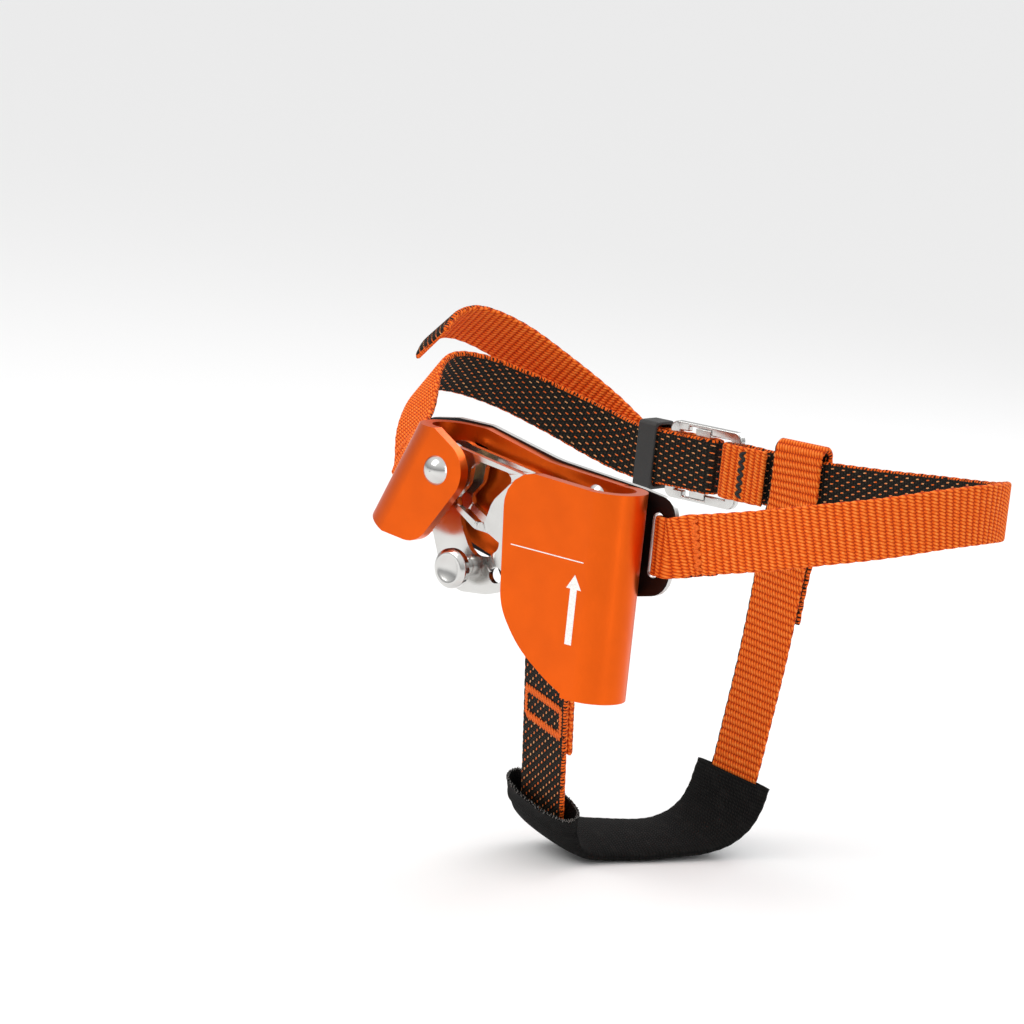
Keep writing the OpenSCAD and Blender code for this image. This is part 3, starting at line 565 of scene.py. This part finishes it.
class Route:
    """A smooth path of rows in millimetres, read by its length along"""

    def __init__(self, rows, steps=10):
        last = len(rows) - 1
        self.rows = []
        for i in range(last):
            ends = rows[max(i - 1, 0)], rows[i], rows[i + 1], rows[min(i + 2, last)]
            self.rows += [through(*ends, k / steps) for k in range(steps)]
        self.rows.append(list(rows[last]))
        self.marks = [0.0]
        for a, b in zip(self.rows, self.rows[1:]):
            self.marks.append(self.marks[-1] + (Vector(b[:3]) - Vector(a[:3])).length)
        self.length = self.marks[-1]
        self.seen = 0

    def row(self, s):
        """The row at length s, between the two rows beside it"""
        s = min(max(s, 0.0), self.length)
        if self.marks[self.seen] > s:
            self.seen = 0
        while self.seen < len(self.marks) - 2 and self.marks[self.seen + 1] < s:
            self.seen += 1
        low, high = self.marks[self.seen], self.marks[self.seen + 1]
        t = (s - low) / (high - low)
        return [p + (q - p) * t for p, q in zip(self.rows[self.seen], self.rows[self.seen + 1])]

    def ring(self, s, reach=0.5):
        """Place, direction, width direction and outward direction at length s"""
        here = self.row(s)
        ahead, behind = self.row(s + reach), self.row(s - reach)
        along = (Vector(ahead[:3]) - Vector(behind[:3])).normalized()
        wide = Vector(here[3:])
        wide = (wide - along * wide.dot(along)).normalized()
        return Vector(here[:3]), along, wide, along.cross(wide)

    def nearest(self, point):
        """The length along the route at the row nearest to a point"""
        gaps = [(Vector(row[:3]) - Vector(point)).length for row in self.rows]
        return self.marks[gaps.index(min(gaps))]


def tube_mesh(name, rings, closed_ends=True):
    """A mesh from rings of (point in mm, across in mm, along in mm, reverse, selvedge)"""
    sides = len(rings[0])
    mesh = bpy.data.meshes.new(name)
    points = [p[0] * MM for ring in rings for p in ring]
    faces = []
    for i in range(len(rings) - 1):
        for k in range(sides):
            a, b = i * sides + k, i * sides + (k + 1) % sides
            faces.append((a, b, b + sides, a + sides))
    if closed_ends:
        last = sides * (len(rings) - 1)
        faces.append(tuple(range(sides))[::-1])
        faces.append(tuple(last + k for k in range(sides)))
    mesh.from_pydata(points, [], faces)
    flat_rows = [p for ring in rings for p in ring]
    strip = mesh.uv_layers.new(name="strip")
    corners = [0.0] * (2 * len(mesh.loops))
    for i, loop in enumerate(mesh.loops):
        row = flat_rows[loop.vertex_index]
        corners[2 * i], corners[2 * i + 1] = row[1] * MM, row[2] * MM
    strip.data.foreach_set("uv", corners)
    for label, column in (("reverse", 3), ("selvedge", 4)):
        layer = mesh.attributes.new(label, "FLOAT", "POINT")
        layer.data.foreach_set("value", [row[column] for row in flat_rows])
    mesh.shade_smooth()
    return mesh


def facing_out(mesh, merge=0.0):
    """Turns every face outwards, after points closer than merge are joined"""
    shape = bmesh.new()
    shape.from_mesh(mesh)
    if merge:
        bmesh.ops.remove_doubles(shape, verts=shape.verts, dist=merge)
    bmesh.ops.recalc_face_normals(shape, faces=shape.faces)
    shape.to_mesh(mesh)
    shape.free()


FLAT_STEPS = 12
ROUND_STEPS = 3


def web_section():
    """The outline of the webbing: rows of (across, out, edge share), counted round once"""
    half_w, half_t = WEB_W / 2, WEB_T / 2
    bend = half_t * 0.92
    face = [(-half_w + bend) + 2 * (half_w - bend) * k / FLAT_STEPS for k in range(FLAT_STEPS + 1)]
    rows = [(a, half_t, 0.0) for a in face]
    edge = [pi / 2 - pi * k / (2 * ROUND_STEPS) for k in range(1, 2 * ROUND_STEPS)]
    rows += [(half_w - bend + bend * cos(e), half_t * sin(e), 1.0) for e in edge]
    rows += [(a, -half_t, 0.0) for a in face[::-1]]
    rows += [(-half_w + bend - bend * cos(e), -half_t * sin(e), 1.0) for e in edge]
    return rows


def webbing_mesh(name, route, orange_out, plain_edge, settings):
    """Webbing along a route. orange_out is 1 where the orange face looks out of the route and
    -1 where black does; plain_edge is the side whose selvedge has no orange yarn, or 0"""
    pitch = settings.rib_pitch / MM
    height = settings.rib_height / MM
    count = int(ceil(route.length / pitch * settings.rings_per_rib))
    section = web_section()
    rings = []
    for i in range(count + 1):
        s = route.length * i / count
        place, _, wide, out = route.ring(s)
        crest = abs(sin(pi * s / pitch)) ** 0.75
        scallop = abs(sin(pi * s / (2 * pitch))) ** 0.6
        fine = 0.5 + 0.5 * cos(tau * s / 1.05)
        taper = min(1.0, 0.55 + min(s, route.length - s) / 1.2)
        ring = []
        for across, thick, edge in section:
            outer = thick * orange_out > 0
            drop = height * (1 - crest) if outer else 0.1 * fine
            depth = (abs(thick) - drop * (1 - edge)) * (1 if thick > 0 else -1) * taper
            spread = across * (1 - 0.03 * (1 - scallop) * (0.3 + 0.7 * edge))
            plain = across * plain_edge > WEB_W / 2 - 1.3
            reverse = 0.0 if outer else 1.0
            if edge:
                reverse = 1.0 if plain else 0.5 - 0.5 * thick * orange_out / (WEB_T / 2)
            selvedge = abs(across) > WEB_W / 2 - 1.0 and not plain
            ring.append((place + wide * spread + out * depth, across, s, reverse, float(selvedge)))
        rings.append(ring)
    mesh = tube_mesh(name, rings)
    facing_out(mesh)
    return mesh


# ---- sewing ----
def stitch_tree():
    """Thread stitches on marked points, each turned and sized by the point's own values"""
    tree = bpy.data.node_groups.new("Sewn stitches", "GeometryNodeTree")
    face = tree.interface
    face.new_socket("Geometry", in_out="INPUT", socket_type="NodeSocketGeometry")
    face.new_socket("Thread", in_out="INPUT", socket_type="NodeSocketFloat")
    face.new_socket("Material", in_out="INPUT", socket_type="NodeSocketMaterial")
    face.new_socket("Geometry", in_out="OUTPUT", socket_type="NodeSocketGeometry")
    graph = Graph(tree)
    source, result = graph.add("NodeGroupInput"), graph.add("NodeGroupOutput")
    grain = graph.add("GeometryNodeMeshUVSphere", {"Segments": 8, "Rings": 6, "Radius": 0.5})
    turn = graph.add("GeometryNodeInputNamedAttribute", {"Name": "turn"}, data_type="FLOAT_VECTOR")
    size = graph.add("GeometryNodeInputNamedAttribute", {"Name": "size"}, data_type="FLOAT_VECTOR")
    scaled = graph.add("ShaderNodeVectorMath", {0: size.outputs["Attribute"]}, operation="SCALE")
    graph.feed(scaled.inputs["Scale"], source.outputs["Thread"])
    euler = graph.add("FunctionNodeEulerToRotation", {0: turn.outputs["Attribute"]})
    spots = graph.add("GeometryNodeInstanceOnPoints", {
        "Points": source.outputs["Geometry"], "Instance": grain.outputs["Mesh"],
        "Rotation": euler.outputs[0], "Scale": scaled.outputs[0]})
    whole = graph.add("GeometryNodeRealizeInstances", {0: spots.outputs[0]})
    shown = graph.add("GeometryNodeSetMaterial", {
        "Geometry": whole.outputs[0], "Material": source.outputs["Material"]})
    graph.feed(result.inputs[0], shown.outputs[0])
    return tree


def sewn(name, marks, finish, thread):
    """One piece of thread from marks: rows of centre in mm, direction, outward direction, and
    length and width in threads"""
    mesh = bpy.data.meshes.new(name)
    mesh.from_pydata([mark[0] * MM for mark in marks], [], [])
    turns, sizes = [], []
    for _, along, out, length, breadth in marks:
        side = out.cross(along).normalized()
        basis = Matrix((along.normalized(), side, along.cross(side).normalized())).transposed()
        turns += list(basis.to_euler())
        sizes += [length, breadth, 0.62]
    for label, values in (("turn", turns), ("size", sizes)):
        layer = mesh.attributes.new(label, "FLOAT_VECTOR", "POINT")
        layer.data.foreach_set("vector", values)
    piece = new_piece(name, mesh, finish)
    tree = GROUPS["Sewn stitches"]
    sockets = {item.name: item.identifier for item in tree.interface.items_tree
               if item.in_out == "INPUT"}
    rule = piece.modifiers.new("Stitches", "NODES")
    rule.node_group = tree
    rule[sockets["Thread"]] = thread
    rule[sockets["Material"]] = FINISHES[finish]
    settle(piece)
    piece.data.shade_smooth()
    return piece


def zigzag(route, start, width, rise, count, side, lift=0.1, one_way=False):
    """A bar of slanted stitches across a strap: start along it, rise its height along the strap"""
    marks = []
    for k in range(count):
        across = width * ((k + 0.5) / count - 0.5)
        lean = 1 if one_way or k % 2 else -1
        place, along, wide, out = route.ring(start + rise / 2)
        step = along * rise * 0.95 + wide * lean * width / count * 0.8
        centre = place + wide * across + out * side * (WEB_T / 2 + lift)
        marks.append((centre, step, out * side, step.length * 1.3 / THREAD, 1.35))
    return marks


def seam(route, start, end, across, count, side, lift=0.1):
    """A line of stitches along a strap"""
    marks = []
    for k in range(count):
        s = start + (end - start) * (k + 0.5) / count
        place, along, wide, out = route.ring(s)
        length = (end - start) / count
        marks.append((place + wide * across + out * side * (WEB_T / 2 + lift), along, out * side,
                      length * 1.15 / THREAD, 1.6))
    return marks


def box_stitch(route, start, end, side, width=14.4, rise=3.2, count=13):
    """Two bars of slanted stitches joined by two side seams"""
    marks = []
    for bar in (start, end - rise):
        marks += zigzag(route, bar, width, rise, count, side, 0.15, one_way=True)
    for across in (-width / 2, width / 2):
        marks += seam(route, start + 1.4, end - 1.4, across, 7, side, 0.05)
    return marks


# ---- operators ----
class AscenderFinishes(bpy.types.Operator):
    """Make every finish and give the carried-over parts theirs"""
    bl_idname = "ascender.finishes"
    bl_label = "Finishes"

    def execute(self, context):
        metal, web = context.scene.ascender_metal, context.scene.ascender_webbing
        GROUPS["Metal grain"] = metal_grain_group()
        GROUPS["Yarn strokes"] = yarn_group()
        GROUPS["Sewn stitches"] = stitch_tree()
        anodised_finish(metal)
        plate_finish(metal)
        metal_finish("Polished steel", metal.stainless, 0.16, 0.12, depth=2e-6)
        metal_finish("Spring wire", (0.42, 0.42, 0.43), 0.3, 0.1, stretch=4.0)
        metal_finish("Bush bronze", (0.6, 0.38, 0.16), 0.32, 0.14, stretch=4.0)
        webbing_finish("Webbing", web)
        sleeve_finish()
        thread_finish("Orange thread", (0.95, 0.16, 0.015))
        thread_finish("Black thread", (0.03, 0.028, 0.027))
        thread_finish("Worn thread", (0.2, 0.19, 0.18))
        keeper_finish()
        ink_finish()
        for node in ("plate_rivets", "cam_axle", "cam_washer"):
            finish_node(node, "Polished steel")
        finish_node("cam_spring", "Spring wire")
        finish_node("cam_bush", "Bush bronze")
        return {"FINISHED"}


class AscenderFrame(bpy.types.Operator):
    """Round the edges of the folded frame and of the strap plate"""
    bl_idname = "ascender.frame"
    bl_label = "Frame and plate"

    def execute(self, context):
        metal = context.scene.ascender_metal
        edged_copy("frame", "folded_frame", metal.edge_round, "Orange anodised", "base",
                   steps=3)
        # The plate's flat faces carry painted shade and painted dark reflection
        plate = edged_copy("strap_plate", "slotted_plate", metal.steel_edge_round, "Plate painted shade",
                           "base")
        mark_plate_rims(plate.data)
        return {"FINISHED"}


class AscenderCam(bpy.types.Operator):
    """Round the edges of the cam and of its knob"""
    bl_idname = "ascender.cam"
    bl_label = "Cam and knob"

    def execute(self, context):
        metal = context.scene.ascender_metal
        edged_copy("cam", "toothed_cam", metal.steel_edge_round, "Polished steel", "cam")
        edged_copy("lever_knob", "turned_knob", metal.steel_edge_round, "Polished steel", "cam")
        return {"FINISHED"}


class AscenderBuckle(bpy.types.Operator):
    """Round the edges of the buckle and its keeper"""
    bl_idname = "ascender.buckle"
    bl_label = "Buckle and keeper"

    def execute(self, context):
        edged_copy("buckle_frame", "buckle_ring", 0.5 * MM, "Polished steel", "base",
                   steps=3)
        edged_copy("buckle_bar", "buckle_slider", 0.3 * MM, "Polished steel", "buckle_bar")
        edged_copy("tail_keeper", "keeper_band", 0.4 * MM, "Keeper rubber", "base",
                   steps=3)
        return {"FINISHED"}


class AscenderWebbing(bpy.types.Operator):
    """Weave the heel, instep and stirrup straps along their routes"""
    bl_idname = "ascender.webbing"
    bl_label = "Webbing straps"

    def execute(self, context):
        web = context.scene.ascender_webbing
        straps = [("heel_webbing", "heel_strap", heel_route(), 1, 0, "orange_webbing"),
                  ("instep_webbing", "instep_strap", instep_route(), -1, 0, "orange_webbing"),
                  ("stirrup_webbing", "stirrup_strap", stirrup_route(), -1, -1, "black_webbing")]
        for name, node, rows, orange_out, plain_edge, slot in straps:
            mesh = webbing_mesh(name, Route(rows), orange_out, plain_edge, web)
            piece = new_piece(name, mesh, "Webbing")
            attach(piece, "base")
            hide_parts(node)
        return {"FINISHED"}


class AscenderSewing(bpy.types.Operator):
    """Sew the folded ends of the straps"""
    bl_idname = "ascender.sewing"
    bl_label = "Stitching"

    def execute(self, context):
        thread = context.scene.ascender_webbing.thread
        stirrup, heel, instep = Route(stirrup_route()), Route(heel_route()), Route(instep_route())
        bend = stirrup.nearest(BEND_AT + RUN_DIR * 12) - 12
        loop = stirrup.nearest((24.6, FAR_Y + 2.7, 8))
        ear = heel.nearest((51.5, -1.7, 17.8))
        slot = instep.nearest((-60.6, 2.6, 27.2))
        groups = [
            ("stirrup_box_stitch", box_stitch(stirrup, bend + 14.2, bend + 28.8, 1),
             "Orange thread"),
            ("far_loop_stitch", box_stitch(stirrup, loop + 2, loop + 14, 1), "Orange thread"),
            ("heel_tack", zigzag(heel, ear + 0.6, 15, 2.2, 12, 1, 0.02), "Orange thread"),
            ("buckle_tack", zigzag(heel, heel.length - 9.5, 15, 2.2, 12, 1), "Black thread"),
            ("instep_tack", zigzag(instep, slot + 1.2, 15, 2.2, 12, -1, 0.02), "Orange thread")]
        for name, marks, finish in groups:
            piece = sewn(name, marks, finish, thread)
            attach(piece, "base")
        return {"FINISHED"}


SLEEVE_W, SLEEVE_T, MOUTH = 29.0, 0.9, 11.0
SLEEVE_SIDES, SLEEVE_ROWS = 64, 150
# Room in the sleeve over the strap, and the length over which its open mouth closes
SLEEVE_ROOM, MOUTH_FADE = 1.6, 7.5


def sleeve_ring(ring_at, width, rise, s):
    """One oval ring of the sleeve's skin"""
    place, _, wide, out = ring_at
    ring = []
    for k in range(SLEEVE_SIDES):
        turn = tau * k / SLEEVE_SIDES
        lift = abs(sin(turn)) ** 0.75 * (1 if sin(turn) > 0 else -1)
        ring.append((place + wide * cos(turn) * width / 2 + out * lift * rise / 2,
                     turn / tau * 2 * width, s, 1.0, 0.0))
    return ring


class AscenderSleeve(bpy.types.Operator):
    """Make the tubular sleeve that saves the stirrup strap from wear, with its frayed mouth"""
    bl_idname = "ascender.sleeve"
    bl_label = "Wear sleeve"

    def execute(self, context):
        route = Route([on_run(60), on_run(64), on_run(69)] + UNDER_SOLE)
        body = WEB_T + 2 * SLEEVE_T + SLEEVE_ROOM
        outer, inner = [], []
        for i in range(SLEEVE_ROWS + 1):
            s = route.length * i / SLEEVE_ROWS
            rise = body + (MOUTH - body) * exp(-s / MOUTH_FADE)
            width = SLEEVE_W + (0.16 * sin(s * 1.9) + 0.1 * sin(s * 0.8 + 1))
            ring_at = route.ring(s, 4.0)
            outer.append(sleeve_ring(ring_at, width, rise, s))
            inner.append(sleeve_ring(ring_at, width - 2 * SLEEVE_T, rise - 2 * SLEEVE_T, s))
        rings = outer + inner[::-1] + [outer[0]]
        mesh = tube_mesh("sleeve_tube", rings, closed_ends=False)
        facing_out(mesh, merge=1e-6)
        piece = new_piece("sleeve_tube", mesh, "Sleeve twill")
        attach(piece, "base")
        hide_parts("wear_sleeve")
        fray = sewn("sleeve_fray", fray_marks(outer[0], inner[0], route), "Worn thread", 0.3 * MM)
        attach(fray, "base")
        return {"FINISHED"}


def fray_marks(outer, inner, route):
    """Short loose yarns round the sleeve's mouth"""
    _, along, _, out = route.ring(0.0, 1.5)
    marks = []
    for k in range(3 * SLEEVE_SIDES):
        a, b = outer[(k // 3) % SLEEVE_SIDES][0], outer[(k // 3 + 1) % SLEEVE_SIDES][0]
        c = inner[(k // 3) % SLEEVE_SIDES][0]
        share = (k % 3) / 3
        depth = 0.5 + 0.45 * sin(k * 2.4)
        rim = (a + (b - a) * share) * (1 - depth) + c * depth
        lean = (out * sin(k * 1.7) + (b - a).normalized() * sin(k * 2.9)) * 0.55
        marks.append((rim - along * 0.25, lean - along, out, 3.2 + 1.6 * sin(k * 5.3), 1.0))
    return marks


class AscenderPrint(bpy.types.Operator):
    """Print the rope arrow and the plain rule on the front flange"""
    bl_idname = "ascender.print"
    bl_label = "Print"

    def execute(self, context):
        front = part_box("frame")[0][1]
        sunk, proud = 0.02 * MM, 0.03 * MM
        arrow = [(24.7, -15.3), (27.1, -15.3), (27.1, 1.3), (28.6, 1.3), (25.9, 5.6),
                 (23.2, 1.3), (24.7, 1.3)]
        rule = [(1.4, 9.85), (28.4, 9.45), (28.4, 9.75), (1.4, 10.15)]
        for name, outline in (("rope_arrow", arrow), ("print_rule", rule)):
            shape = bmesh.new()
            low = [shape.verts.new((x * MM, front + sunk, z * MM)) for x, z in outline]
            high = [shape.verts.new((x * MM, front - proud, z * MM)) for x, z in outline]
            shape.faces.new(low)
            shape.faces.new(high)
            for i in range(len(low)):
                j = (i + 1) % len(low)
                shape.faces.new((low[i], low[j], high[j], high[i]))
            bmesh.ops.recalc_face_normals(shape, faces=shape.faces)
            bmesh.ops.triangulate(shape, faces=shape.faces)
            mesh = bpy.data.meshes.new(name)
            shape.to_mesh(mesh)
            shape.free()
            piece = new_piece(name, mesh, "White ink")
            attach(piece, "base")
        return {"FINISHED"}


# Where the camera stands, and the direction that its back faces
CAMERA_PLACE = Vector((0.603365, -0.822370, 0.196064))
CAMERA_BACK = Vector((0.592673, -0.786503, 0.173648))
LIGHTS_LOOK_AT = Vector((0.02, 0.03, -0.02))


def add_light(name, place, size, power, colour):
    """A soft rectangular light that looks at the middle of the object"""
    lamp = bpy.data.lights.new(name, "AREA")
    lamp.shape = "RECTANGLE"
    lamp.size, lamp.size_y = size
    lamp.energy = power
    lamp.color = colour
    light = bpy.data.objects.new(name, lamp)
    light.location = place
    light.rotation_euler = (LIGHTS_LOOK_AT - Vector(place)).to_track_quat("-Z", "Y").to_euler()
    bpy.context.scene.collection.objects.link(light)


class AscenderStage(bpy.types.Operator):
    """Set up the floor, the soft lights and the camera"""
    bl_idname = "ascender.stage"
    bl_label = "Stage"

    def execute(self, context):
        stage = context.scene.ascender_stage
        mesh = bpy.data.meshes.new("floor")
        half, low = 150.0, START_BOX[0][2] - 0.0002
        corners = [(-half, -half), (half, -half), (half, half), (-half, half)]
        mesh.from_pydata([(x, y, low) for x, y in corners], [], [(0, 1, 2, 3)])
        _, shader = new_finish("Pale floor")
        shader.inputs["Base Color"].default_value = (0.93, 0.93, 0.93, 1.0)
        shader.inputs["Roughness"].default_value = 0.9
        new_piece("floor", mesh, "Pale floor")
        world = bpy.data.worlds.new("Studio")
        world.use_nodes = True
        sky = Graph(world.node_tree)
        way = sky.add("ShaderNodeTexCoord").outputs["Generated"]
        ray = sky.add("ShaderNodeSeparateXYZ", {0: way})
        room = sky.ramp(ray.outputs["Z"], 0.05, 0.6, 0.38 * stage.sky, stage.sky)
        seen = sky.add("ShaderNodeLightPath").outputs["Is Camera Ray"]
        shade = world.node_tree.nodes["Background"]
        shade.inputs["Color"].default_value = (1.0, 1.0, 1.0, 1.0)
        sky.feed(shade.inputs["Strength"], sky.math("MAXIMUM", room, seen))
        context.scene.world = world
        context.scene.view_settings.view_transform = "Standard"
        add_light("key", (-0.35, -0.75, 0.85), (0.7, 0.7), stage.key_power, (1.0, 0.98, 0.95))
        add_light("side", (1.0, -0.3, 0.3), (0.15, 0.9), 1.0, (1.0, 1.0, 1.0))
        add_light("back", (0.1, 0.9, 0.7), (0.8, 0.4), 3.0, (0.97, 0.98, 1.0))
        right = UP_AXIS.cross(CAMERA_BACK).normalized()
        upward = CAMERA_BACK.cross(right)
        turned_x = right * cos(stage.roll) + upward * sin(stage.roll)
        turned_y = upward * cos(stage.roll) - right * sin(stage.roll)
        lens = bpy.data.cameras.new("camera")
        lens.lens = stage.lens
        lens.sensor_width = 36.0
        camera = bpy.data.objects.new("camera", lens)
        turned = Matrix((turned_x, turned_y, CAMERA_BACK)).transposed()
        camera.matrix_world = Matrix.Translation(CAMERA_PLACE) @ turned.to_4x4()
        context.scene.collection.objects.link(camera)
        context.scene.camera = camera
        return {"FINISHED"}


class AscenderPanel(bpy.types.Panel):
    """The sidebar panel with every step"""
    bl_idname = "VIEW3D_PT_ascender"
    bl_label = "Foot ascender"
    bl_space_type = "VIEW_3D"
    bl_region_type = "UI"
    bl_category = "Ascender"

    def draw(self, context):
        for settings in (context.scene.ascender_metal, context.scene.ascender_webbing,
                         context.scene.ascender_stage):
            box = self.layout.box()
            for key in settings.bl_rna.properties.keys():
                if key not in ("name", "rna_type"):
                    box.prop(settings, key)
        for step in STEPS:
            self.layout.operator(step.bl_idname)


SETTINGS = {"ascender_metal": MetalSettings, "ascender_webbing": WebbingSettings,
            "ascender_stage": StageSettings}
STEPS = (AscenderStage, AscenderFinishes, AscenderFrame, AscenderCam, AscenderBuckle,
         AscenderWebbing, AscenderSewing, AscenderSleeve, AscenderPrint)


def register():
    for kind in (*SETTINGS.values(), *STEPS, AscenderPanel):
        bpy.utils.register_class(kind)
    for label, kind in SETTINGS.items():
        setattr(bpy.types.Scene, label, PointerProperty(type=kind))


def unregister():
    for label in SETTINGS:
        delattr(bpy.types.Scene, label)
    for kind in (AscenderPanel, *reversed(STEPS), *SETTINGS.values()):
        bpy.utils.unregister_class(kind)


def main():
    register()
    bpy.ops.ascender.stage()
    bpy.ops.ascender.finishes()
    bpy.ops.ascender.frame()
    bpy.ops.ascender.cam()
    bpy.ops.ascender.buckle()
    bpy.ops.ascender.webbing()
    bpy.ops.ascender.sewing()
    bpy.ops.ascender.sleeve()
    bpy.ops.ascender.print()


if __name__ == "__main__":
    main()
